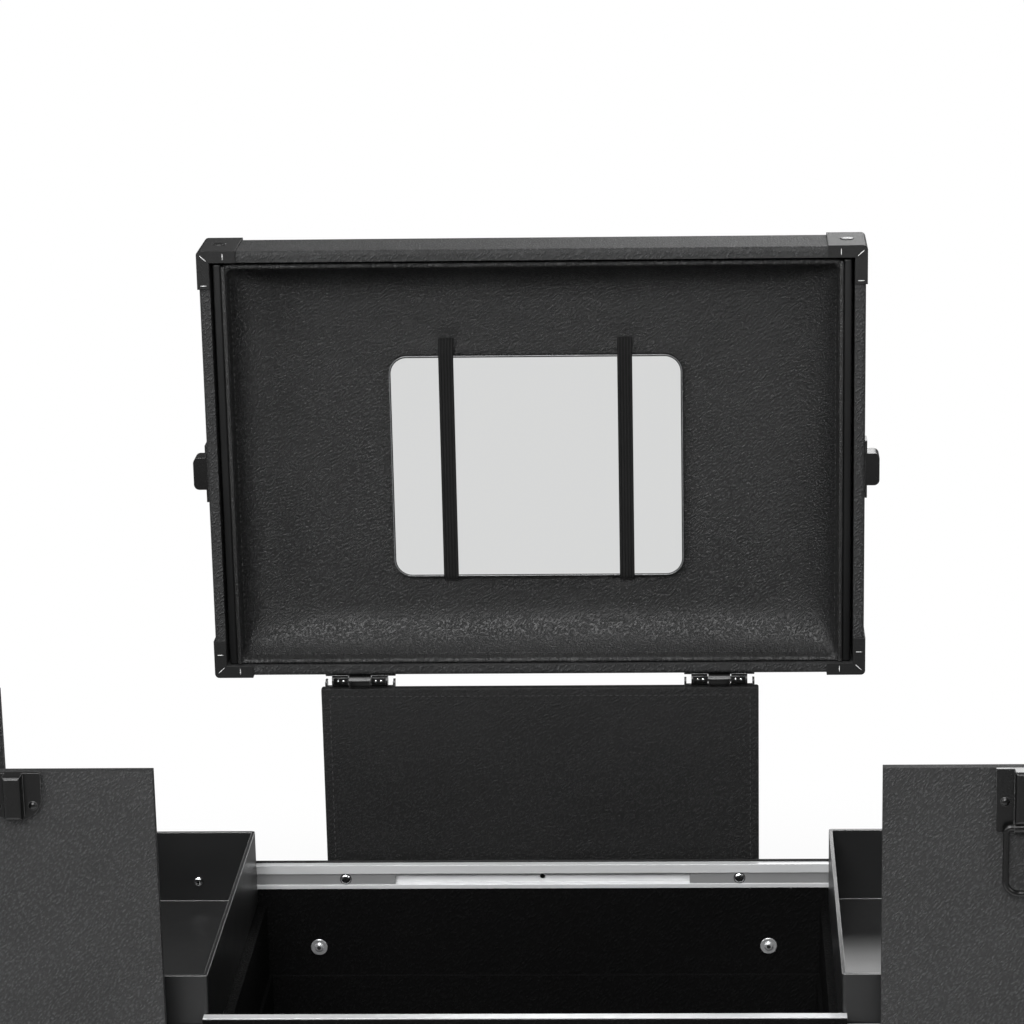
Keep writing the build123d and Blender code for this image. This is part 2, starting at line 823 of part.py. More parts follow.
ring_y = plate_face - ring_stand_off
ring_z = plate_top - ring_plate_height + ring_pivot_up
lug_width = ring_width - 2 * (2 + wire_bend) * ring_wire_radius - 2 * bearing_play
ring_plate = front_plate(ring_plate_height, plate_thick, ring_pivot_up + ring_lug_radius)
ring_plate += rod(plate_mid, ring_y, ring_z, ring_lug_radius, lug_width, "X")
ring_plate += block(
    (plate_mid - lug_width / 2, plate_mid + lug_width / 2),
    (ring_y, plate_face),
    (ring_z - ring_lug_radius, ring_z + ring_lug_radius),
)
ring_plate -= rod(plate_mid, ring_y, ring_z, ring_wire_radius + bearing_play, lug_width, "X")
keep("right_ring_plate", ring_plate)
ring = wire_loop(ring_width, ring_length, ring_wire_radius, lug_width / 2 - plate_thick)
keep("right_ring_pull", Pos(plate_mid, ring_y, ring_z) * ring)

# Side latches: a plate with a pivot barrel and a wire bail that reaches the lid's catch
latch_y = axis_y - lid_above_axis - catch_up_lid
latch_top = rim + wing_side_rise - latch_top_drop
latch_x = wing_side_out + plate_thick + latch_stand_off
latch_z = latch_top - latch_pivot_drop
barrel = latch_bail_width - 2 * (2 + wire_bend) * latch_wire_radius - 2 * bearing_play
latch_plate = block(
    (wing_side_out, wing_side_out + plate_thick),
    (latch_y - latch_plate_width / 2, latch_y + latch_plate_width / 2),
    (latch_top - latch_plate_height, latch_top),
)
latch_plate = fillet(latch_plate.edges().filter_by(Axis.X), plate_thick * 2)
latch_barrel_radius = latch_wire_radius + plate_thick / 2
latch_plate += rod(latch_x, latch_y, latch_z, latch_barrel_radius, barrel, "Y")
latch_plate += block(
    (wing_side_out, latch_x),
    (latch_y - barrel / 2, latch_y + barrel / 2),
    (latch_z - latch_barrel_radius, latch_z + latch_barrel_radius),
)
latch_plate -= rod(latch_x, latch_y, latch_z, latch_wire_radius + bearing_play, barrel, "Y")
for end in (-1, 1):
    rivet_y = latch_y + end * latch_rivet_spread
    rivet_z = latch_top - latch_plate_height + plate_rivet_inset
    latch_plate += dome(
        wing_side_out + plate_thick, rivet_y, rivet_z, plate_rivet_radius, plate_rivet_rise, "+X"
    )
bail = wire_loop(latch_bail_width, latch_bail_length, latch_wire_radius, barrel / 2 - plate_thick)
bail = Pos(latch_x, latch_y, latch_z) * Rot(0, 0, 90) * bail
keep("right_latch_plate", latch_plate)
keep("left_latch_plate", other_side(latch_plate))
keep("right_latch_bail", bail)
keep("left_latch_bail", other_side(bail))

# Trolley handle: fixed sleeves, sliding tubes, a grip with a push button, two brackets
tube_y = lid_back_y + tube_behind_lid
tube_radius = sleeve_radius - sleeve_wall - tube_play
sleeve_z = (cabinet_base + sleeve_foot, rim - sleeve_top_drop)
grip_low = rim + grip_rise - grip_height
tube_z = (sleeve_z[0] + tube_foot_gap, grip_low)


def pipe(x, z_span, radius, wall):
    """An upright tube at the handle's distance behind the case."""
    height = z_span[1] - z_span[0]
    middle = (z_span[0] + z_span[1]) / 2
    return rod(x, tube_y, middle, radius, height) - rod(x, tube_y, middle, radius - wall, height)


sides = (-tube_spread, tube_spread)
keep("trolley_sleeves", *[pipe(x, sleeve_z, sleeve_radius, sleeve_wall) for x in sides])
keep("trolley_tubes", *[pipe(x, tube_z, tube_radius, tube_wall) for x in sides])
grip_half = tube_spread + grip_overhang
grip_y = (tube_y - grip_depth / 2, tube_y + grip_depth / 2)
grip = block((-grip_half, grip_half), grip_y, (grip_low, rim + grip_rise))
grip = fillet(grip.edges().filter_by(Axis.X), grip_corner)
grip_ends = grip.faces().sort_by(Axis.X)
grip = fillet(grip_ends[0].edges() + grip_ends[-1].edges(), grip_end_round)
button_low = rim + grip_rise - button_well
well_half = button_width / 2 + button_play
well_deep = button_depth / 2 + button_play
grip -= block(
    (-well_half, well_half),
    (tube_y - well_deep, tube_y + well_deep),
    (button_low - button_travel, rim + grip_rise),
)
keep("trolley_grip", grip)
button = block(
    (-button_width / 2, button_width / 2),
    (tube_y - button_depth / 2, tube_y + button_depth / 2),
    (button_low + button_play, rim + grip_rise + button_rise),
)
button = fillet(button.faces().sort_by(Axis.Z)[-1].edges(), button_rise * 0.6)
keep("trolley_button", button)

brackets = []
bracket_out = tube_y + sleeve_radius + bracket_margin
bracket_half = tube_spread + sleeve_radius + bracket_margin
bracket_lows = (sleeve_z[0] - bracket_margin, sleeve_z[1] - bracket_height)
for low in bracket_lows:
    bracket = block((-bracket_half, bracket_half), (rear_face, bracket_out), (low, low + bracket_height))
    bracket = fillet(bracket.edges().filter_by(Axis.Z).sort_by(Axis.Y)[-2:], sleeve_radius)
    window = tube_spread - sleeve_radius - bracket_margin * 2
    bracket -= block(
        (-window, window),
        (rear_face + cabinet_board, bracket_out),
        (low, low + bracket_height),
    )
    for x in sides:
        height = sleeve_z[1] - sleeve_z[0]
        bracket -= rod(x, tube_y, (sleeve_z[0] + sleeve_z[1]) / 2, sleeve_radius, height)
    brackets.append(bracket)
keep("trolley_brackets", *brackets)

# Casters: a fixed plate with a king pin, a swivelling fork with its axle, and a wheel
race_low = cabinet_base - caster_plate_thick - caster_race_height
fork_top = race_low - caster_play
fork_under = fork_top - fork_plate
arm_in = wheel_width / 2 + fork_gap
arm_out = arm_in + fork_arm


def caster_mount(x, y):
    """The plate, bearing and king pin under one corner of the base."""
    half = caster_plate / 2
    plate_low = cabinet_base - caster_plate_thick
    plate = block((x - half, x + half), (y - half, y + half), (plate_low, cabinet_base))
    plate = fillet(plate.edges().filter_by(Axis.Z), axle_head_radius)
    race_mid = race_low + caster_race_height / 2
    plate += rod(x, y, race_mid, caster_race_radius, caster_race_height)
    pin_low = fork_under - caster_play
    plate += rod(x, y, (pin_low + race_low) / 2, king_pin_radius, race_low - pin_low)
    plate += rod(x, y, pin_low - king_pin_head_height / 2, king_pin_head, king_pin_head_height)
    return plate


def caster_fork(x, y):
    """Two arms that trail behind the king pin, and the axle across them."""
    fork = rod(x, y, (fork_top + fork_under) / 2, caster_race_radius, fork_plate)
    fork_front = y - caster_race_radius + fork_setback
    fork += block((x - arm_out, x + arm_out), (fork_front, y + caster_race_radius), (fork_under, fork_top))
    fork -= rod(x, y, (fork_top + fork_under) / 2, king_pin_radius + bearing_play, fork_plate)
    back = y + caster_trail
    outline = Polyline(
        (fork_front, fork_top),
        (y + caster_race_radius, fork_top),
        (back + fork_eye_radius, wheel_radius),
        (back - fork_eye_radius, wheel_radius),
        close=True,
    )
    for side in (-1, 1):
        low_x = x + side * arm_in if side > 0 else x - arm_out
        arm = Plane(origin=(low_x, 0, 0), x_dir=(0, 1, 0), z_dir=(1, 0, 0)) * make_face(outline)
        arm = extrude(arm, fork_arm)
        arm += rod(low_x + fork_arm / 2, back, wheel_radius, fork_eye_radius, fork_arm, "X")
        fork += arm
    fork -= rod(x, back, wheel_radius, axle_radius, 2 * arm_out, "X")
    axle = rod(x, back, wheel_radius, axle_radius, 2 * arm_out, "X")
    for side in (-1, 1):
        head_x = x + side * (arm_out + axle_head / 2)
        axle += rod(head_x, back, wheel_radius, axle_head_radius, axle_head, "X")
    return [fork, axle]


def caster_wheel(x, y):
    """A wheel with a raised hub and a rounded tread."""
    back = y + caster_trail
    wheel = rod(x, back, wheel_radius, wheel_radius, wheel_width, "X")
    wheel = fillet(wheel.edges().filter_by(GeomType.CIRCLE), tyre_depth * 0.6)
    web = rod(x, back, wheel_radius, wheel_radius - tyre_depth, wheel_width, "X")
    web -= rod(x, back, wheel_radius, axle_head_radius * 2, wheel_width, "X")
    web -= rod(x, back, wheel_radius, wheel_radius, wheel_width - 2 * tyre_depth * 0.6, "X")
    wheel -= web
    return wheel - rod(x, back, wheel_radius, axle_radius + bearing_play, wheel_width, "X")


case_mid_y = (case_y[0] + case_y[1]) / 2
caster_x = cabinet_half - caster_side_inset
caster_y = (case_y[1] - case_y[0]) / 2 - caster_end_inset
caster_places = {
    "front_left": (-caster_x, case_mid_y - caster_y),
    "front_right": (caster_x, case_mid_y - caster_y),
    "rear_left": (-caster_x, case_mid_y + caster_y),
    "rear_right": (caster_x, case_mid_y + caster_y),
}
keep("caster_plates", *[caster_mount(x, y) for x, y in caster_places.values()])
for corner_name, (x, y) in caster_places.items():
    keep(f"{corner_name}_fork", *caster_fork(x, y))
    keep(f"{corner_name}_wheel", caster_wheel(x, y))

# Every piece is moved so that the origin is under the middle of the whole outline
boxes = [solid.bounding_box() for solids in nodes.values() for solid in solids]
centre_x = (min(box.min.X for box in boxes) + max(box.max.X for box in boxes)) / 2
centre_y = (min(box.min.Y for box in boxes) + max(box.max.Y for box in boxes)) / 2
os.makedirs("parts", exist_ok=True)
for name, solids in nodes.items():
    placed = [Pos(-centre_x, -centre_y, 0) * solid for solid in solids]
    export_step(placed[0] if len(placed) == 1 else Compound(placed), f"parts/{name}.step")
print(len(nodes), "nodes, centre", round(centre_x, 4), round(centre_y, 4))
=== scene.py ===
import json
import math

import bmesh
import bpy
from mathutils import Matrix, Vector, noise


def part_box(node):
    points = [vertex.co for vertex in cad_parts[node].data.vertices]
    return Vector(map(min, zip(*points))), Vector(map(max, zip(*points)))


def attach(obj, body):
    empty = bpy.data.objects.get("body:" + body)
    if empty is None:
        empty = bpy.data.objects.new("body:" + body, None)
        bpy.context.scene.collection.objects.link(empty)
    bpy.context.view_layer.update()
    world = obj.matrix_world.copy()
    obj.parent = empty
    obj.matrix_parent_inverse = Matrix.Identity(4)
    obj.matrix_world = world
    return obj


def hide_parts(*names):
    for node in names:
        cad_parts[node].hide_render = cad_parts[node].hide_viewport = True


# Rolling makeup case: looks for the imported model. Lengths are metres, in the row frame.

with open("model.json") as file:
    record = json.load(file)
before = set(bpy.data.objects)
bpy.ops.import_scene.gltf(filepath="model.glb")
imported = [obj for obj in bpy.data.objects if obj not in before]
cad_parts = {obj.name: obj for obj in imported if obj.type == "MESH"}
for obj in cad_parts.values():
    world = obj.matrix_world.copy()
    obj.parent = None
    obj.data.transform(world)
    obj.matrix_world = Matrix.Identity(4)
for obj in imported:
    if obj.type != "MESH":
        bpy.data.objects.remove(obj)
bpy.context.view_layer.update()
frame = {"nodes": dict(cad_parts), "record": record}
nodes = frame["nodes"]
node_slot = {part["node"]: part["material_slot"] for part in frame["record"]["subparts"]}
mm = 0.001


# Materials


class Net:
    """A material's node tree, with short calls that add and join its nodes."""

    def __init__(self, name):
        self.material = bpy.data.materials.new(name)
        self.material.use_nodes = True
        self.tree = self.material.node_tree
        self.surface = self.tree.nodes["Principled BSDF"]
        self.coord = self.add("TexCoord").outputs["Object"]

    def put(self, socket, value):
        if isinstance(value, bpy.types.NodeSocket):
            self.tree.links.new(value, socket)
        else:
            socket.default_value = value

    def add(self, kind, inputs=None, **settings):
        node = self.tree.nodes.new("ShaderNode" + kind)
        for key, value in settings.items():
            setattr(node, key, value)
        for key, value in (inputs or {}).items():
            self.put(node.inputs[key], value)
        return node

    def stretch(self, size, turn=(0, 0, 0)):
        """Object coordinates in cells of the given size, after a turn."""
        inputs = {"Vector": self.coord, "Rotation": turn, "Scale": size}
        return self.add("Mapping", inputs, vector_type="TEXTURE").outputs["Vector"]

    def noise(self, size, detail=2.0, rough=0.5):
        """Noise in even cells of the given size."""
        inputs = {"Vector": self.stretch((size,) * 3), "Scale": 1.0, "Detail": detail, "Roughness": rough}
        return self.add("TexNoise", inputs).outputs["Fac"]

    def weave(self, size, distortion, direction):
        """Woven or twisted bands of the given size."""
        inputs = {"Vector": self.stretch((size,) * 3), "Scale": 1.0, "Distortion": distortion}
        return self.add("TexWave", inputs, bands_direction=direction).outputs["Fac"]

    def math(self, operation, first, second=0.0, third=0.0):
        node = self.add("Math", {0: first, 1: second, 2: third}, operation=operation)
        return node.outputs[0]

    def span(self, value, low, high, out_low=0.0, out_high=1.0):
        node = self.add("MapRange", {"Value": value, 1: low, 2: high, 3: out_low, 4: out_high})
        return node.outputs[0]

    def mix(self, factor, first, second):
        return self.blend(factor, (*first, 1), (*second, 1))

    def blend(self, factor, first, second):
        return self.add("MixRGB", {"Fac": factor, "Color1": first, "Color2": second}).outputs["Color"]

    def bump(self, height, depth, strength=1.0, edge=0.0):
        node = self.add("Bump", {"Height": height, "Distance": depth, "Strength": strength})
        if edge:
            self.put(node.inputs["Normal"], self.rounded(edge))
        return node.outputs["Normal"]

    def rounded(self, radius):
        """The surface's direction with its edges rounded."""
        return self.add("Bevel", {"Radius": radius}, samples=4).outputs["Normal"]

    def finish(self, **values):
        for key, value in values.items():
            self.put(self.surface.inputs[key.replace("_", " ")], value)
        return self.material


def grey(level, tint=0.0):
    """A neutral colour, a little cooler when tint is above zero."""
    return (level * (1 - tint), level, level * (1 + tint))


pebble_lean = math.radians(-49)


def leather(name, dark, light, grain, depth, rough, edge=0.0006, shine=0.35):
    """Embossed leatherette: rows of short slanting pebbles, with finer creases between them, and painted
    highlights that lighten the colour at each pebble's crown.
    """
    net = Net(name)
    cells = net.stretch((grain * 2.5, grain, grain), (0, pebble_lean, 0))
    drift = net.add("TexNoise", {"Vector": net.stretch((grain * 4,) * 3), "Detail": 1.0}).outputs["Color"]
    moved = net.add("VectorMath", {0: drift, 1: (0.9, 0.9, 0.9), 2: cells}, operation="MULTIPLY_ADD")
    inputs = {"Vector": moved.outputs[0], "Scale": 1.0, "Randomness": 0.85}
    pebble = net.add("TexVoronoi", inputs).outputs["Distance"]
    raised = net.span(pebble, 0.0, 0.62, 1.0, 0.0)
    fine = net.noise(grain * 0.4, 2.0, 0.6)
    height = net.math("MULTIPLY_ADD", fine, 0.25, raised)
    broad = net.noise(0.05)
    # Painted highlight: the colour is lighter near each pebble's centre, standing in for light caught on
    # its ridge.
    painted_glints = net.span(pebble, 0.1, 0.42, 1.0, 0.0)
    tone = net.math("MULTIPLY_ADD", broad, 0.25, net.math("MULTIPLY", painted_glints, 0.85))
    return net.finish(
        Base_Color=net.mix(tone, grey(dark), grey(light, 0.02)),
        Roughness=net.span(raised, 0, 1, rough + 0.14, rough - 0.04),
        Specular_IOR_Level=shine,
        Normal=net.bump(height, depth, 1.0, edge),
    )


def metal(name, level, rough, grain=(0.02, 0.0003, 0.0003), change=0.12, edge=0.0004, bare=1.0):
    """Brushed metal: fine lines along the grain's longest length."""
    net = Net(name)
    tint = 0.01
    inputs = {"Vector": net.stretch(grain), "Scale": 1.0, "Detail": 4.0, "Roughness": 0.65}
    lines = net.add("TexNoise", inputs).outputs["Fac"]
    cloud = net.noise(0.03)
    shade = net.math("MULTIPLY_ADD", cloud, 0.3, net.math("MULTIPLY", lines, 0.7))
    return net.finish(
        Base_Color=net.mix(shade, grey(level * (1 - change), tint), grey(level * (1 + change), tint)),
        Metallic=bare,
        Roughness=net.span(lines, 0.25, 0.75, rough - 0.06, rough + 0.08),
        Normal=net.bump(lines, 0.00002, 1.0, edge),
    )


def moulded(
    name, level, rough, texture=0.0008, depth=0.00003, edge=0.0005, tint=0.02, shine=0.4, edge_highlight=0.0
):
    """Satin plastic or paint, with a fine moulded texture, marks of handling and a painted highlight that
    lightens its edges.
    """
    net = Net(name)
    grain = net.noise(texture, 3.0, 0.6)
    wear = net.noise(0.035, 4.0, 0.6)
    mark = net.math("MULTIPLY_ADD", grain, 0.5, wear)
    colour = net.mix(wear, grey(level * 0.8, tint), grey(level * 1.25, tint))
    # Painted highlight: the colour turns light grey along the rounded edges, where they would catch the
    # light.
    if edge_highlight:
        flat = net.add("NewGeometry").outputs["Normal"]
        inputs = {0: net.rounded(edge * 1.4), 1: flat}
        match = net.add("VectorMath", inputs, operation="DOT_PRODUCT").outputs["Value"]
        colour = net.blend(net.span(match, 0.97, 0.8), colour, (*grey(edge_highlight), 1))
    return net.finish(
        Base_Color=colour,
        Roughness=net.span(mark, 0.4, 1.1, rough - 0.06, rough + 0.08),
        Specular_IOR_Level=shine,
        Normal=net.bump(grain, depth, 1.0, edge),
    )


def elastic(name, level, first_rib, rib):
    """Woven elastic. The mesh has the ribs, and this adds the weave and paints shade into the grooves
    between the ribs and into the weave's low spots.
    """
    net = Net(name)
    height = net.math("MULTIPLY_ADD", net.noise(0.0003), 0.5, net.weave(0.0008, 0.6, "Z"))
    across = net.add("SeparateXYZ", {0: net.coord}).outputs["X"]
    place = net.math("SUBTRACT", net.math("ABSOLUTE", across), first_rib)
    groove = net.math("PINGPONG", place, rib / 2)
    # Painted shade: dark in the grooves between the ribs, and a little darker where the weave is low.
    groove_shade = net.span(groove, 0.0, rib * 0.42, 0.12, 1.0)
    tone = net.math("MULTIPLY", groove_shade, net.span(height, 0, 1.4, 0.6, 1.0))
    return net.finish(
        Base_Color=net.mix(tone, grey(level * 0.15), grey(level * 1.6)),
        Roughness=0.85,
        Specular_IOR_Level=0.15,
        Normal=net.bump(height, 0.00012),
    )


def thread(name, level):
    """Twisted sewing thread."""
    net = Net(name)
    twist = net.weave(0.0004, 1.5, "DIAGONAL")
    return net.finish(
        Base_Color=net.mix(twist, grey(level * 0.75), grey(level)),
        Roughness=0.7,
        Normal=net.bump(twist, 0.0001),
    )


def silvered(name):
    """Mirror glass, with the faintest waviness."""
    net = Net(name)
    wave = net.noise(0.12, 1.0)
    return net.finish(
        Base_Color=net.mix(wave, (0.93, 0.94, 0.935), (0.95, 0.955, 0.955)),
        Metallic=1.0,
        Roughness=0.015,
        Normal=net.bump(wave, 0.00002, 0.2),
    )


strap_rib = 1.64 * mm
first_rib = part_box("mirror_straps")[1].x - 8.5 * mm
even_grain = (0.002, 0.002, 0.002)
look = {
    "leatherette": leather("leatherette_coarse", 0.011, 0.058, 0.0010, 0.0006, 0.46, shine=0.28),
    "stitched_leatherette": leather("leatherette_fine", 0.004, 0.019, 0.0008, 0.0004, 0.46, shine=0.22),
    "lining": leather("lining_leather", 0.003, 0.024, 0.00085, 0.0005, 0.3, 0.0, shine=0.42),
    "corner_leather": leather("cap_leather", 0.007, 0.013, 0.0006, 0.00006, 0.4, shine=0.25),
    "board": moulded("black_board", 0.018, 0.6, 0.0012, 0.00006),
    # The tray plastic and the black enamel get a painted highlight along their edges; the last number
    # gives its grey.
    "tray_plastic": moulded("satin_plastic", 0.008, 0.34, 0.0007, 0.00002, 0.0006, shine=0.45, edge_highlight=0.3),
    "button_plastic": moulded("button_plastic", 0.09, 0.3),
    "aluminium": metal("brushed_aluminium", 0.58, 0.36, bare=0.35),
    "black_metal": moulded("black_enamel", 0.003, 0.24, 0.0015, 0.00001, 0.0004, 0.0, 0.35, 0.1),
    "steel": metal("zinc_steel", 0.55, 0.26, (0.0004, 0.0004, 0.012)),
    "mirror": silvered("silvered_glass"),
    "elastic": elastic("ribbed_elastic", 0.009, first_rib, strap_rib),
    "wheel_rubber": moulded("tyre_rubber", 0.016, 0.62, 0.0006, 0.00005),
}
hub_plastic = moulded("hub_plastic", 0.12, 0.4)
bright_steel = metal("bright_steel", 0.78, 0.16, even_grain, 0.05, 0.0)
washer_steel = metal("washer_steel", 0.6, 0.22, even_grain, 0.05, 0.0, bare=0.7)
# A near-black material for painted shade in recesses: screw crosses, the gaps round screw heads and rivet
# hollows.
painted_recess_shade = moulded("painted_recess_shade", 0.004, 0.6, edge=0.0)
shaded_inside = leather("shaded_inside_leather", 0.0012, 0.004, 0.0011, 0.0004, 0.6, shine=0.06)
satin_strip = metal("brushed_strip", 0.24, 0.4, bare=0.35)
piping_gloss = moulded("piping_gloss", 0.008, 0.2, 0.0012, 0.0005, 0.0, 0.0, 0.6)
channel_black = moulded("channel_black", 0.005, 0.42, shine=0.2)
# Painted highlight: a light grey for the bead round the mirror's edge.
bead_highlight_grey = moulded("bead_highlight_grey", 0.10, 0.3, edge=0.0)
white_thread = thread("white_thread", 0.85)
dark_thread = thread("dark_thread", 0.035)
for name, obj in nodes.items():
    obj.data.materials.clear()
    obj.data.materials.append(look[node_slot[name]])
# The compartment's inside is a near-black copy of the leatherette: painted shade for the deep box.
nodes["compartment_box"].data.materials[0] = shaded_inside
for side in ("left", "right"):
    nodes[f"{side}_slide_strips"].data.materials[0] = satin_strip


# Mesh helpers


def add_piece(name, bm, body, material, sharp=35.0, stands_for=(), rounding=0):
    """Turns a bmesh into an object that rides on a body and has a material."""
    bmesh.ops.recalc_face_normals(bm, faces=bm.faces)
    mesh = bpy.data.meshes.new(name)
    bm.to_mesh(mesh)
    bm.free()
    for face in mesh.polygons:
        face.use_smooth = True
    mesh.set_sharp_from_angle(angle=math.radians(sharp))
    mesh.materials.append(material)
    obj = bpy.data.objects.new(name, mesh)
    bpy.context.scene.collection.objects.link(obj)
    if rounding:
        subdivision = obj.modifiers.new("rounding", "SUBSURF")
        subdivision.levels = subdivision.render_levels = rounding
    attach(obj, body)
    if stands_for:
        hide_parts(*stands_for)
    return obj


def round_off(bm, edges, radius, segments):
    bmesh.ops.bevel(
        bm, geom=edges, offset=radius, segments=segments, profile=0.5, affect="EDGES", material=-1
    )


def slab(bm, low, high, bevel=0.0, segments=3):
    """A box between two corners, with rounded edges."""
    low, high = Vector(low), Vector(high)
    size = high - low
    place = Matrix.Translation((low + high) / 2) @ Matrix.Diagonal((*size, 1))
    made = bmesh.ops.create_cube(bm, size=1.0, matrix=place)
    if bevel:
        edges = list({edge for vert in made["verts"] for edge in vert.link_edges})
        round_off(bm, edges, bevel, segments)


def sweep(bm, points, section, up, closed=False):
    """Carries a closed section along a path. Each section point is (across, along up)."""
    points = [Vector(point) for point in points]
    up = Vector(up)
    count = len(points)
    rings = []
    for index, point in enumerate(points):
        before = points[index - 1] if closed or index else point
        after = points[(index + 1) % count] if closed or index < count - 1 else point
        forward = (after - before).normalized()
        side = forward.cross(up).normalized()
        lift = side.cross(forward)
        rings.append([bm.verts.new(point + side * a + lift * b) for a, b in section])
    join_rings(bm, rings, closed)


def join_rings(bm, rings, closed=False):
    """Faces between neighbouring rings of the same count, with the ends filled."""
    pairs = list(zip(rings, rings[1:]))
    if closed:
        pairs.append((rings[-1], rings[0]))
    for first, second in pairs:
        for k in range(len(first)):
            n = (k + 1) % len(first)
            bm.faces.new((first[k], first[n], second[n], second[k]))
    if not closed:
        bm.faces.new(rings[0])
        bm.faces.new(rings[-1])


def circle(radius, count):
    turns = [2 * math.pi * k / count for k in range(count)]
    return [(radius * math.cos(turn), radius * math.sin(turn)) for turn in turns]


def lathe(bm, centre, axis, profile, count, hollow=False):
    """Spins a profile of (radius, distance along the axis) points. A hollow one is a closed ring."""
    centre, axis = Vector(centre), Vector(axis).normalized()
    side = axis.orthogonal().normalized()
    points = [bm.verts.new(centre + axis * along + side * radius) for radius, along in profile]
    pairs = list(zip(points, points[1:]))
    if hollow:
        pairs.append((points[-1], points[0]))
    lines = [bm.edges.new(pair) for pair in pairs]
    bmesh.ops.spin(
        bm, geom=points + lines, cent=centre, axis=axis, angle=2 * math.pi, steps=count, use_merge=True
    )
    if not hollow:
        rims = [edge for edge in bm.edges if edge.is_boundary]
        bmesh.ops.holes_fill(bm, edges=rims, sides=0)


def stitch(bm, start, end, facing, radius):
    """One stitch: a long block that its Subdivision modifier rounds."""
    start, end, facing = Vector(start), Vector(end), Vector(facing)
    run = (end - start).normalized()
    side = run.cross(facing).normalized()
    place = Matrix((side, side.cross(run), run)).transposed().to_4x4()
    place.translation = (start + end) / 2 + facing * radius * 0.2
    size = Matrix.Diagonal((radius * 2.3, radius * 2.3, (end - start).length, 1))
    bmesh.ops.create_cube(bm, size=1.0, matrix=place @ size)


def stitch_line(bm, start, end, facing, pitch, share, radius):
    """A row of stitches between two points. Share is the stitched part of each pitch."""
    start, end = Vector(start), Vector(end)
    count = max(1, round((end - start).length / pitch))
    step = (end - start) / count
    for k in range(count):
        middle = start + step * (k + 0.5)
        stitch(bm, middle - step * share / 2, middle + step * share / 2, facing, radius)


def rounded_ring(half_x, half_z, corner, mid_x, mid_z, corner_steps=10, x_steps=44, z_steps=30):
    """Points (x, z) round a rectangle with rounded corners, always the same number of them."""
    corner = min(corner, half_x * 0.98, half_z * 0.98)
    flat_x, flat_z = half_x - corner, half_z - corner
    points = []
    turns = [(1, -1, 0), (1, 1, 90), (-1, 1, 180), (-1, -1, 270)]
    for index, (side, top, start) in enumerate(turns):
        cx, cz = side * flat_x, top * flat_z
        for k in range(corner_steps + 1):
            angle = math.radians(start - 90 + 90 * k / corner_steps)
            points.append((cx + corner * math.cos(angle), cz + corner * math.sin(angle)))
        steps = z_steps if index % 2 == 0 else x_steps
        nx, nz = turns[(index + 1) % 4][0] * flat_x, turns[(index + 1) % 4][1] * flat_z
        last = points[-1]
        angle = math.radians(start)
        first_x, first_z = nx + corner * math.cos(angle), nz + corner * math.sin(angle)
        for k in range(1, steps):
            t = k / steps
            points.append((last[0] + (first_x - last[0]) * t, last[1] + (first_z - last[1]) * t))
    return [(mid_x + x, mid_z + z) for x, z in points]


# Lid lining: padded leatherette with a crowned border and a hollow that curves into its back

lining_low, lining_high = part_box("lid_lining")
mirror_low, mirror_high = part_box("mirror_frame")
strap_low, strap_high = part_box("mirror_straps")
lining_x = (lining_high.x - lining_low.x) / 2
lining_z = (lining_high.z - lining_low.z) / 2
lining_mid = (lining_high.z + lining_low.z) / 2
border = 3 * mm
hollow_depth = 25 * mm
curve = 24 * mm
front_y = lining_low.y
hollow_y = front_y + hollow_depth
strap_x = strap_high.x - 4.4 * mm
slit_rows = (strap_high.z, strap_low.z + 1.5 * mm)
slit_reach_x, slit_reach_z, slit_dimple = 7.5 * mm, 4.5 * mm, 1.6 * mm


def lining_ring(half_x, half_z, corner, y, soft):
    """One ring of the lining. Soft is how much it may wrinkle."""
    ring = []
    for x, z in rounded_ring(half_x, half_z, corner, 0, lining_mid):
        drop = 0.0
        if soft:
            slow = noise.noise(Vector((x * 28, z * 28, 3.1)))
            quick = noise.noise(Vector((x * 90, z * 90, 7.7)))
            drop += soft * (0.9 * slow + 0.35 * quick) * mm
            for side in (-1, 1):
                for row in slit_rows:
                    away_x, away_z = (x - side * strap_x) / slit_reach_x, (z - row) / slit_reach_z
                    drop += slit_dimple * math.exp(-(away_x**2 + away_z**2))
        ring.append((x, y + drop, z))
    return ring


rows = [
    lining_ring(lining_x, lining_z, 2 * mm, lining_high.y - 1 * mm, 0),
    lining_ring(lining_x, lining_z, 2 * mm, front_y + 2 * mm, 0),
    lining_ring(lining_x - 0.4 * mm, lining_z - 0.4 * mm, 2.5 * mm, front_y + 0.6 * mm, 0),
    lining_ring(lining_x - 1.2 * mm, lining_z - 1.2 * mm, 2.8 * mm, front_y, 0),
    lining_ring(lining_x - 2.0 * mm, lining_z - 2.0 * mm, 3 * mm, front_y + 0.2 * mm, 0),
    lining_ring(lining_x - 2.7 * mm, lining_z - 2.7 * mm, 3.4 * mm, front_y + 0.8 * mm, 0),
]
wall_x, wall_z = lining_x - border, lining_z - border
for step in range(19):
    angle = math.radians(90 * step / 18)
    inset = curve * (1 - math.cos(angle))
    depth = 2 * mm + (hollow_depth - 2 * mm) * math.sin(angle)
    soft = 0.5 * math.sin(angle)
    rows.append(lining_ring(wall_x - inset, wall_z - inset, 4 * mm + inset, front_y + depth, soft))
flat_x, flat_z = wall_x - curve, wall_z - curve
core_in = 14 * mm
core_x, core_z = mirror_high.x - core_in, (mirror_high.z - mirror_low.z) / 2 - core_in
for step in range(1, 21):
    t = step / 20
    half_x, half_z = flat_x + (core_x - flat_x) * t, flat_z + (core_z - flat_z) * t
    rows.append(lining_ring(half_x, half_z, 28 * mm * (1 - t) + 8 * mm * t, hollow_y, 0.5))
bm = bmesh.new()
join_rings(bm, [[bm.verts.new(point) for point in row] for row in rows])
lining = add_piece("lid_lining_padded", bm, "lid", look["lining"], 60, ["lid_lining"])

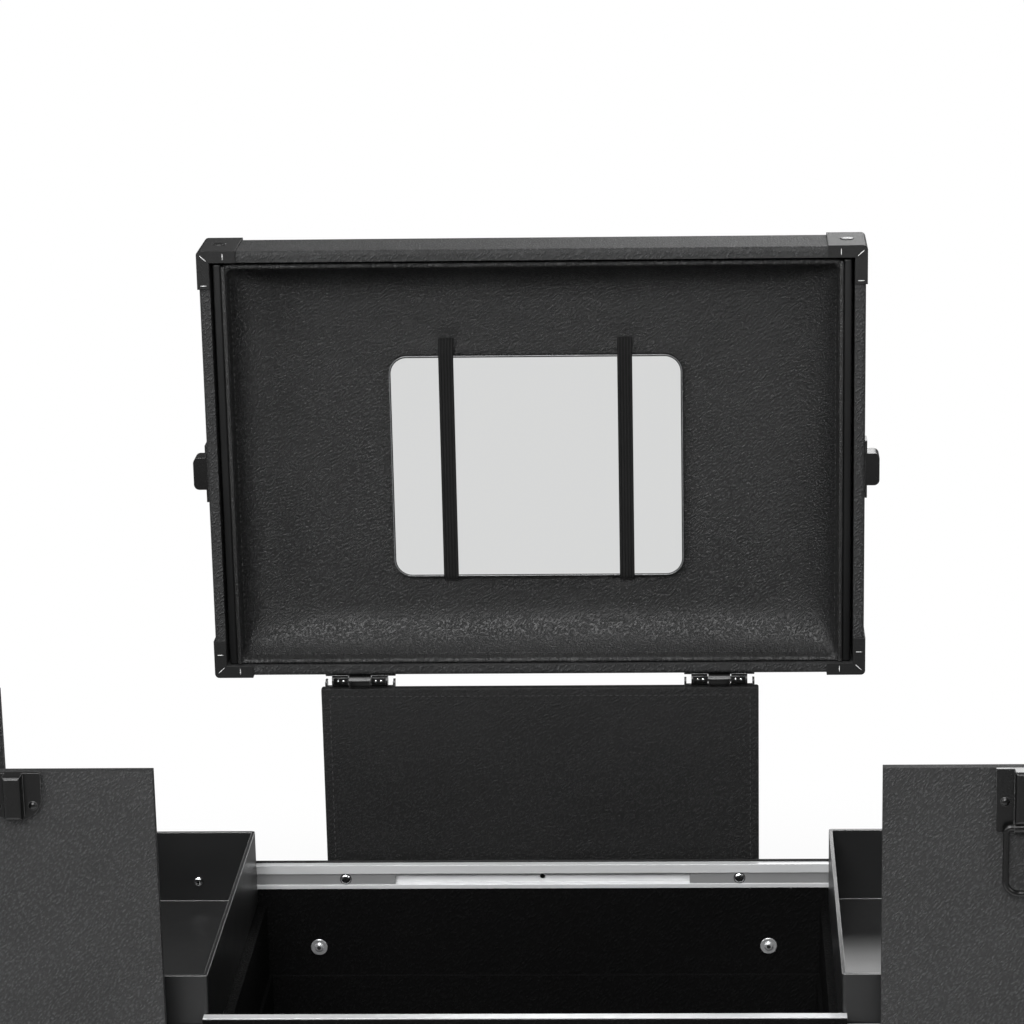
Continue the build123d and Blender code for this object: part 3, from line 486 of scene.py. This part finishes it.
# Seam stitches round the lining's wall

bm = bmesh.new()
seam = rows[9]
for k in range(len(seam)):
    start, end = Vector(seam[k]), Vector(seam[(k + 1) % len(seam)])
    towards = Vector((0, -0.8, 0)) + Vector((-start.x, 0, lining_mid - start.z)).normalized() * 0.6
    if (end - start).length > 2.2 * mm:
        stitch_line(bm, start, end, towards.normalized(), 3.4 * mm, 0.7, 0.28 * mm)
add_piece("lining_seam_stitches", bm, "lid", dark_thread, 180, rounding=1)

# Piping along the lining's sides

bm = bmesh.new()
pipe_x = lining_x - 1.2 * mm
for side in (-1, 1):
    ends = (lining_high.z - 0.8 * mm, lining_low.z + 0.8 * mm)
    sweep(bm, [(side * pipe_x, front_y - 0.3 * mm, z) for z in ends], circle(1.35 * mm, 14), (0, 1, 0))
add_piece("lining_piping", bm, "lid", piping_gloss)

# Dark strips between the lining and the lid's side walls

shell_low, shell_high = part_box("lid_shell")
lid_wall = 6 * mm
bm = bmesh.new()
strip_in, strip_out = lining_x + 0.1 * mm, shell_high.x - lid_wall - 1.6 * mm
strip_bottom, strip_top = lining_low.z + 0.3 * mm, shell_high.z - lid_wall - 1.2 * mm
for side in (-1, 1):
    near, reach = sorted((side * strip_in, side * strip_out))
    slab(
        bm,
        (near, front_y - 0.4 * mm, strip_bottom),
        (reach, lining_high.y - 1 * mm, strip_top),
        0.9 * mm,
    )
add_piece("lid_channel_strips", bm, "lid", channel_black)

# Elastic straps over the mirror, with five ribs, tucked into slits above and below it

rib_count = 5
rib_steps = rib_count * 6
strap_width = 8.2 * mm
section = []
for k in range(rib_steps + 1):
    t = k / rib_steps
    rib_height = 0.28 * mm * abs(math.sin(math.pi * rib_count * t))
    section.append((strap_width * (t - 0.5), 0.45 * mm + rib_height))
section += [(strap_width * 0.5, -0.3 * mm), (-strap_width * 0.5, -0.3 * mm)]
bm = bmesh.new()
face_y = mirror_low.y - 0.55 * mm
for side in (-1, 1):
    top, low = slit_rows
    line = [
        (hollow_y + 3 * mm, top - 0.5 * mm),
        (hollow_y + 0.5 * mm, top - 1.0 * mm),
        (hollow_y - 1.6 * mm, top - 2.6 * mm),
        (hollow_y - 3.2 * mm, top - 5.0 * mm),
        (face_y + 0.25 * mm, top - 7.2 * mm),
        (face_y, mirror_high.z - 0.5 * mm),
        (face_y, mirror_high.z - 3 * mm),
        (face_y, lining_mid),
        (face_y, mirror_low.z + 3 * mm),
        (face_y, mirror_low.z + 0.4 * mm),
        (face_y + 0.6 * mm, mirror_low.z - 0.9 * mm),
        (face_y + 2.2 * mm, low - 0.2 * mm),
        (hollow_y + 3 * mm, low + 0.3 * mm),
    ]
    sweep(bm, [(side * strap_x, y, z) for y, z in line], section, (0, -1, 0.0001))
add_piece("mirror_elastic_straps", bm, "lid", look["elastic"], 60, ["mirror_straps"])

# Mirror glass almost as wide as its frame, with a fine bead round it, light grey as a painted highlight
# along the mirror's edge

mirror_x, mirror_z = mirror_high.x, (mirror_high.z - mirror_low.z) / 2
mirror_mid = (mirror_high.z + mirror_low.z) / 2


def rounded_pane(bm, low, high, corner):
    """A block whose four edges along Y are rounded."""
    slab(bm, low, high)
    least = 0.5 * (high[1] - low[1])
    along_y = [edge for edge in bm.edges if abs((edge.verts[0].co - edge.verts[1].co).y) > least]
    round_off(bm, along_y, corner, 12)


pane_corner = 10 * mm
bm = bmesh.new()
pane_in = 1.1 * mm
rounded_pane(
    bm,
    (pane_in - mirror_x, mirror_low.y - 0.1 * mm, mirror_low.z + pane_in),
    (mirror_x - pane_in, mirror_low.y + 1.4 * mm, mirror_high.z - pane_in),
    pane_corner - pane_in,
)
add_piece("mirror_pane", bm, "lid", look["mirror"], 30, ["mirror_glass"])
bm = bmesh.new()
bead_in = 0.35 * mm
bead_corner = pane_corner - bead_in
bead = rounded_ring(mirror_x - bead_in, mirror_z - bead_in, bead_corner, 0, mirror_mid, 12, 1, 1)
sweep(bm, [(x, mirror_low.y, z) for x, z in bead], circle(0.3 * mm, 8), (0, 1, 0), True)
add_piece("mirror_bead", bm, "lid", bead_highlight_grey)

# Stitches on the lid's corner caps: one along each edge and one across the corner

caps_low, caps_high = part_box("lid_corner_caps")
cap_face = caps_low.y - 0.05 * mm
bm = bmesh.new()
edge_x = shell_high.x
stitch_from, stitch_to = 0.4 * mm, lid_wall - 0.9 * mm
cap_along_x = 13.5 * mm
caps = ((shell_low.z, 1, 12.5 * mm), (shell_high.z, -1, 18.5 * mm))
for side in (-1, 1):
    for corner_z, inward, cap_along_z in caps:
        x, z = side * (edge_x - cap_along_x), corner_z + inward * cap_along_z
        out = Vector((side * (edge_x - 0.6 * mm), cap_face, corner_z + inward * 1.4 * mm))
        across = Vector((-side * 4.6 * mm, 0, inward * 4.2 * mm))
        near_z, far_z = corner_z + inward * stitch_from, corner_z + inward * stitch_to
        near_x, far_x = side * (edge_x - stitch_from), side * (edge_x - stitch_to)
        ends = [
            ((x, cap_face, near_z), (x, cap_face, far_z)),
            ((near_x, cap_face, z), (far_x, cap_face, z)),
            (out, out + across),
        ]
        for start, end in ends:
            stitch_line(bm, start, end, (0, -1, 0), 7.0 * mm, 1.0, 0.25 * mm)
add_piece("cap_stitches", bm, "lid", white_thread, 180, rounding=1)

# Dark rivets on top of the lid's corner caps, and tape along the back rim's outer edge

bm = bmesh.new()
flat_dome = [(3.7 * mm, 0), (3.5 * mm, 0.4 * mm), (2.2 * mm, 0.7 * mm), (1.0 * mm, 0.75 * mm)]
for side in (-1, 1):
    top = (side * (edge_x - 10 * mm), (caps_low.y + caps_high.y) / 2, caps_high.z - 0.6 * mm)
    lathe(bm, top, (0, 0, 1), flat_dome, 28)
add_piece("cap_rivets", bm, "lid", look["black_metal"], 40)

channel_low, channel_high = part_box("guide_channels")
bm = bmesh.new()
tape_low = (channel_low.x, channel_high.y - 1.0 * mm, channel_high.z - 0.6 * mm)
slab(bm, tape_low, (channel_high.x, channel_high.y + 0.3 * mm, channel_high.z + 1.1 * mm), 0.3 * mm, 2)
add_piece("rim_edge_tape", bm, "case", look["corner_leather"])

# Stitched back panel, with a row of stitches round its front and back

panel_low, panel_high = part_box("stitched_back_panel")
bm = bmesh.new()
slab(bm, panel_low, panel_high, 1.1 * mm, 4)
stitched = look["stitched_leatherette"]
add_piece("back_panel_board", bm, "case", stitched, 40, ["stitched_back_panel"])
bm = bmesh.new()
sew_in = 4.8 * mm
left, right = panel_low.x + sew_in, panel_high.x - sew_in
bottom, top = panel_low.z + sew_in, panel_high.z - sew_in
for y, facing in ((panel_low.y, -1), (panel_high.y, 1)):
    ends = [(left, bottom), (right, bottom), (right, top), (left, top)]
    for k in range(4):
        (x0, z0), (x1, z1) = ends[k], ends[(k + 1) % 4]
        stitch_line(bm, (x0, y, z0), (x1, y, z1), (0, facing, 0), 3.6 * mm, 0.7, 0.3 * mm)
add_piece("back_panel_stitches", bm, "case", dark_thread, 180, rounding=1)

# Screws, rivets and the hinges' plates


def cross_screw(bm, dark, centre, facing, radius, rise):
    """A domed screw head, and the cross in it as a dark piece of its own: painted shade for the cross's
    recess.
    """
    shape = [(1, 0), (1, 0.25), (0.93, 0.5), (0.72, 0.82), (0.4, 1)]
    lathe(bm, centre, facing, [(radius * out, rise * up) for out, up in shape], 28)
    centre, facing = Vector(centre), Vector(facing)
    side = facing.orthogonal().normalized()
    for turn in (35, 125):
        arm = Matrix.Rotation(math.radians(turn), 3, facing) @ side
        cross = facing.cross(arm)
        place = Matrix((arm, cross, facing)).transposed().to_4x4()
        place.translation = centre + facing * rise * 0.72
        size = Matrix.Diagonal((radius * 1.15, radius * 0.28, rise * 0.64, 1))
        bmesh.ops.create_cube(dark, size=1.0, matrix=place @ size)


def washer_rivet(bm, dark, centre, facing, washer, radius, rise):
    """A domed rivet on a dished washer, with a dark disc on its crown as painted shade for its hollow."""
    profile = [
        (washer, 0), (washer, rise * 0.28), (washer * 0.95, rise * 0.4), (radius * 1.05, rise * 0.32),
        (radius, rise * 0.45), (radius * 0.9, rise * 0.78), (radius * 0.62, rise), (radius * 0.45, rise),
    ]
    lathe(bm, centre, facing, profile, 32)
    hollow = [(0.42, 0.5), (0.42, 1.02), (0.2, 1.04)]
    lathe(dark, centre, facing, [(radius * out, rise * up) for out, up in hollow], 16)


hinge_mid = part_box("panel_hinge_leaves")[1].x - 19.5 * mm
plate_back = 2.6 * mm
pin_y, pin_z = (panel_low.y + panel_high.y) / 2, panel_high.z + 3.8 * mm
case_bm, lid_bm, dark = bmesh.new(), bmesh.new(), bmesh.new()
screw_bm = bmesh.new()
for side in (-1, 1):
    middle = side * hinge_mid
    slab(
        case_bm,
        (middle - 5.7 * mm, pin_y - 3.05 * mm, pin_z - 3.4 * mm),
        (middle + 5.7 * mm, pin_y - plate_back, pin_z + 0.8 * mm),
        0.2 * mm,
        2,
    )
    for end in (-1, 1):
        near, reach = sorted((middle + end * 6.4 * mm, middle + end * 14.6 * mm))
        slab(
            lid_bm,
            (near, pin_y - 3.25 * mm, pin_z - 1.7 * mm),
            (reach, pin_y - plate_back, pin_z + 2.7 * mm),
            0.2 * mm,
            2,
        )
        for away in (9 * mm, 12 * mm):
            place = (middle + end * away, pin_y - 3.2 * mm, pin_z + 0.6 * mm)
            cross_screw(screw_bm, dark, place, (0, -1, 0), 0.7 * mm, 0.25 * mm)
add_piece("hinge_middle_plates", case_bm, "case", look["black_metal"])
add_piece("hinge_side_plates", lid_bm, "lid", look["black_metal"])
add_piece("hinge_screws", screw_bm, "lid", bright_steel)
add_piece("hinge_screw_slot_shades", dark, "lid", painted_recess_shade)

# Screws on the slide strips and the trays, front and back, each with a dark ring round it as painted
# shade where the head meets the surface

screwed = (
    ("left_strips", "left_slide_strips", -1, 28 * mm, 2.5 * mm, 0.98 * mm),
    ("right_strips", "right_slide_strips", 1, 28 * mm, 2.5 * mm, 0.98 * mm),
    ("left_tray", "left_tray", -1, 33 * mm, 2.8 * mm, 1.3 * mm),
    ("right_tray", "right_tray", 1, 33 * mm, 2.8 * mm, 1.3 * mm),
)
ring = [(3.3 * mm, -0.3 * mm), (3.3 * mm, 0.12 * mm), (2.0 * mm, 0.14 * mm)]
groove_z = channel_high.z - 8.35 * mm
for body, node, side, from_inner_end, base, rise in screwed:
    low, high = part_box(node)
    inner = low.x if side > 0 else high.x
    bm, dark = bmesh.new(), bmesh.new()
    for end in (-1, 1):
        y = (high.y + low.y) / 2 + end * ((high.y - low.y) / 2 - base)
        place = (inner + side * from_inner_end, y, groove_z)
        cross_screw(bm, dark, place, (0, -end, 0), 2.75 * mm, rise)
        lathe(dark, place, (0, -end, 0), ring, 28)
    add_piece(f"{body}_screws", bm, body, bright_steel)
    add_piece(f"{body}_screw_slot_shades", dark, body, painted_recess_shade)

# Rivets with washers on the compartment's walls

rivet_low, rivet_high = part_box("compartment_rivets")
bm, dark = bmesh.new(), bmesh.new()
for side in (-1, 1):
    for end in (-1, 1):
        place = (
            side * (rivet_high.x - 5 * mm),
            rivet_high.y if end > 0 else rivet_low.y,
            (rivet_low.z + rivet_high.z) / 2,
        )
        washer_rivet(bm, dark, place, (0, -end, 0), 4.7 * mm, 2.6 * mm, 1.8 * mm)
add_piece("wall_rivets", bm, "case", washer_steel, 40, ["compartment_rivets"])
add_piece("wall_rivet_hollow_shades", dark, "case", painted_recess_shade)

# Rivets on the corner pieces of the cabinet's edging

edging_low, edging_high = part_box("cabinet_edging")
rivet_in = 12 * mm
bm = bmesh.new()
dome = [(3.2 * mm, -0.2 * mm), (3.1 * mm, 0.3 * mm), (2.4 * mm, 0.9 * mm), (1.2 * mm, 1.2 * mm)]
for z in (edging_low.z + rivet_in, edging_high.z - rivet_in):
    for side in (-1, 1):
        for y, facing in ((edging_low.y, -1), (edging_high.y, 1)):
            lathe(bm, (side * (edging_high.x - rivet_in), y, z), (0, facing, 0), dome, 24)
            lathe(bm, (side * edging_high.x, y - facing * rivet_in, z), (side, 0, 0), dome, 24)
add_piece("edging_rivets", bm, "case", bright_steel, 40)

# Caster wheels: a rubber tyre on a plastic hub

for corner in ("front_left", "front_right", "rear_left", "rear_right"):
    low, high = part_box(f"{corner}_wheel")
    centre = (low + high) / 2
    radius = (high.z - low.z) / 2
    half = (high.x - low.x) / 2
    bm = bmesh.new()
    rim = radius - 5 * mm
    tyre = [
        (rim, -half * 0.86),
        (radius - 3.2 * mm, -half * 0.92),
        (radius - 1.2 * mm, -half * 0.78),
        (radius - 0.2 * mm, -half * 0.5),
    ]
    tyre += [(radius, -half * 0.2), (radius, half * 0.2)]
    tyre += [(r, -a) for r, a in reversed(tyre[:4])]
    tyre += [(rim, half * 0.5), (rim, -half * 0.5)]
    lathe(bm, centre, (1, 0, 0), tyre, 56, True)
    roller, rubber = f"{corner}_roller", look["wheel_rubber"]
    add_piece(f"{corner}_tyre", bm, roller, rubber, 35, [f"{corner}_wheel"])
    bm = bmesh.new()
    bore = 3.05 * mm
    hub = [
        (bore, half),
        (9 * mm, half),
        (9.4 * mm, half * 0.55),
        (rim - 3 * mm, half * 0.45),
        (rim - 2 * mm, half * 0.82),
        (rim, half * 0.82),
    ]
    hub += [(r, -a) for r, a in reversed(hub)]
    lathe(bm, centre, (1, 0, 0), hub, 48, True)
    add_piece(f"{corner}_hub", bm, roller, hub_plastic)

# Studio: a pale floor, soft lights and the camera

floor_mesh = bpy.data.meshes.new("floor")
bm = bmesh.new()
bmesh.ops.create_circle(bm, cap_ends=True, segments=64, radius=30.0)
bm.to_mesh(floor_mesh)
bm.free()
floor = bpy.data.objects.new("floor", floor_mesh)
bpy.context.scene.collection.objects.link(floor)

# The floor is paper near the case and glows white farther off, with a bright band for the mirror

net = Net("floor_paper")
out = net.tree.nodes["Material Output"]
flat = net.add("VectorMath", {0: net.coord, 1: (1, 1, 0)}, operation="MULTIPLY").outputs[0]
reach = net.add("VectorMath", {0: flat}, operation="LENGTH").outputs["Value"]
inputs = {"Value": reach, 1: 0.9, 2: 1.9, 3: 0.0, 4: 1.0}
far = net.add("MapRange", inputs, interpolation_type="SMOOTHSTEP").outputs[0]
seen = net.add("LightPath").outputs["Is Camera Ray"]
near = net.add("BsdfDiffuse", {"Color": (0.9, 0.9, 0.9, 1)}).outputs[0]
glossy = net.add("LightPath").outputs["Is Glossy Ray"]
band = net.math("MULTIPLY", net.span(reach, 1.8, 2.2), net.span(reach, 4.2, 4.6, 1.0, 0.0))
reflected = net.math("MULTIPLY_ADD", net.math("MULTIPLY", glossy, band), 0.6, 0.12)
strength = net.math("MULTIPLY_ADD", seen, 0.88, reflected)
glow = net.add("Emission", {"Color": (1, 1, 1, 1), "Strength": strength}).outputs[0]
net.put(out.inputs["Surface"], net.add("MixShader", {0: far, 1: near, 2: glow}).outputs[0])
floor_mesh.materials.append(net.material)

# The world is white to the camera and dim to everything else

world = bpy.data.worlds.new("studio")
bpy.context.scene.world = world
world.use_nodes = True
tree = world.node_tree
background = tree.nodes["Background"]
path = tree.nodes.new("ShaderNodeLightPath")
level = tree.nodes.new("ShaderNodeMapRange")
tree.links.new(path.outputs["Is Camera Ray"], level.inputs["Value"])
level.inputs[3].default_value = 0.12
level.inputs[4].default_value = 1.0
tree.links.new(level.outputs[0], background.inputs["Strength"])
background.inputs["Color"].default_value = (1, 1, 1, 1)


def soft_light(name, place, aim, size, power):
    """A square area light that points at a place."""
    data = bpy.data.lights.new(name, "AREA")
    data.shape = "RECTANGLE"
    data.size, data.size_y = size
    data.energy = power
    light = bpy.data.objects.new(name, data)
    light.location = place
    light.rotation_mode = "QUATERNION"
    light.rotation_quaternion = (Vector(aim) - Vector(place)).to_track_quat("-Z", "Y")
    bpy.context.scene.collection.objects.link(light)


soft_light("overhead", (-0.2, -0.6, 2.5), (0, 0.0, 0.6), (1.2, 0.9), 28)
soft_light("front_top", (-0.35, -2.3, 2.25), (0, 0.0, 0.7), (1.4, 0.7), 78)
soft_light("rear_fill", (0.6, 2.4, 1.9), (0, 0, 0.5), (1.2, 0.9), 22)
soft_light("left_front", (-2.1, -1.5, 1.6), (0, 0, 0.6), (0.9, 1.4), 26)
soft_light("right_front", (2.1, -1.6, 1.5), (0, 0, 0.6), (0.9, 1.4), 18)

# Camera as fitted to points of the photo, in pixels of a frame that is photo_size wide

photo_size, focal_length = 1024, 3716.4
centre_x, centre_y = 590, 614
fit_origin_y, fit_origin_z = -0.0174, 0.59
camera_place = (0.09514, fit_origin_y - 1.84633, fit_origin_z + 0.73993)
yaw, pitch, roll = math.radians(-1.936), math.radians(16.885), math.radians(-0.891)
level_reach = math.cos(pitch)
forward = Vector((math.sin(yaw) * level_reach, math.cos(yaw) * level_reach, -math.sin(pitch)))
level_right = Vector((math.cos(yaw), -math.sin(yaw), 0))
level_up = level_right.cross(forward)
right = level_right * math.cos(roll) + level_up * math.sin(roll)
up = level_up * math.cos(roll) - level_right * math.sin(roll)
data = bpy.data.cameras.new("camera")
data.sensor_width = 36.0
data.lens = focal_length / photo_size * data.sensor_width
data.shift_x = (photo_size / 2 - centre_x) / photo_size
data.shift_y = (centre_y - photo_size / 2) / photo_size
data.clip_start, data.clip_end = 0.05, 100
camera = bpy.data.objects.new("camera", data)
basis = Matrix((right, up, -forward)).transposed()
camera.matrix_world = Matrix.Translation(camera_place) @ basis.to_4x4()
scene = bpy.context.scene
scene.collection.objects.link(camera)
scene.camera = camera
scene.view_settings.view_transform = "Standard"
scene.view_settings.look = "None"
